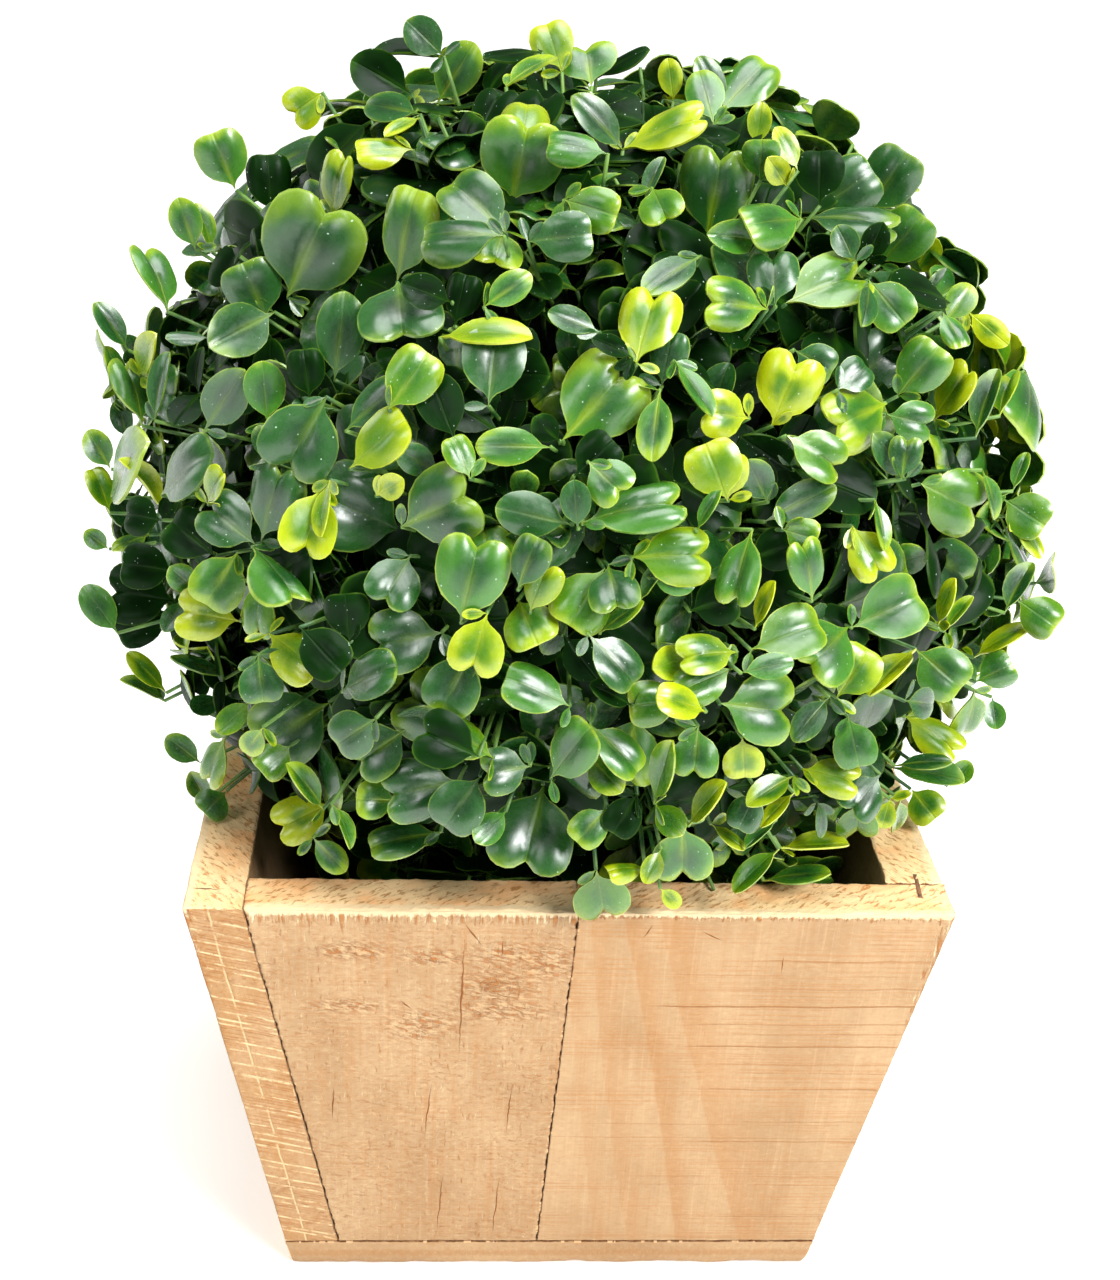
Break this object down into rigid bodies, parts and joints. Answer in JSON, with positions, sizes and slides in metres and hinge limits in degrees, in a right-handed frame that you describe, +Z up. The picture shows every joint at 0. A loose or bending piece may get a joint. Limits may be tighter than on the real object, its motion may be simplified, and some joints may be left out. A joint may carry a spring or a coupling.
{
  "type": "artificial box topiary ball in a wooden pot",
  "caption": "Artificial clipped box ball of moulded plastic sprigs, standing in a tapered square pot of rough-sawn boards.",
  "frame": {"origin": "middle of the pot's flat underside", "axes": "+Z up, -Y towards the front wall, the one that shows the left board's end at its left; +X to the right seen from the front"},
  "size_m": [0.1979, 0.1943, 0.2462],
  "materials": {
    "pot_boards": "rough-sawn pale pine, unfinished",
    "filler": "dark rigid foam",
    "stem": "moulded dark green plastic",
    "foliage": "moulded semi-gloss polyethylene leaves, lime at their edges"
  },
  "bodies": {
    "root": {"front_plank_left": "pot_boards", "front_plank_right": "pot_boards", "right_plank_left": "pot_boards", "right_plank_right": "pot_boards", "back_plank_left": "pot_boards", "back_plank_right": "pot_boards", "left_plank_left": "pot_boards", "left_plank_right": "pot_boards", "base_board": "pot_boards", "filler_block": "filler", "stem": "stem", "foliage_ball": "foliage"}
  },
  "joints": []
}
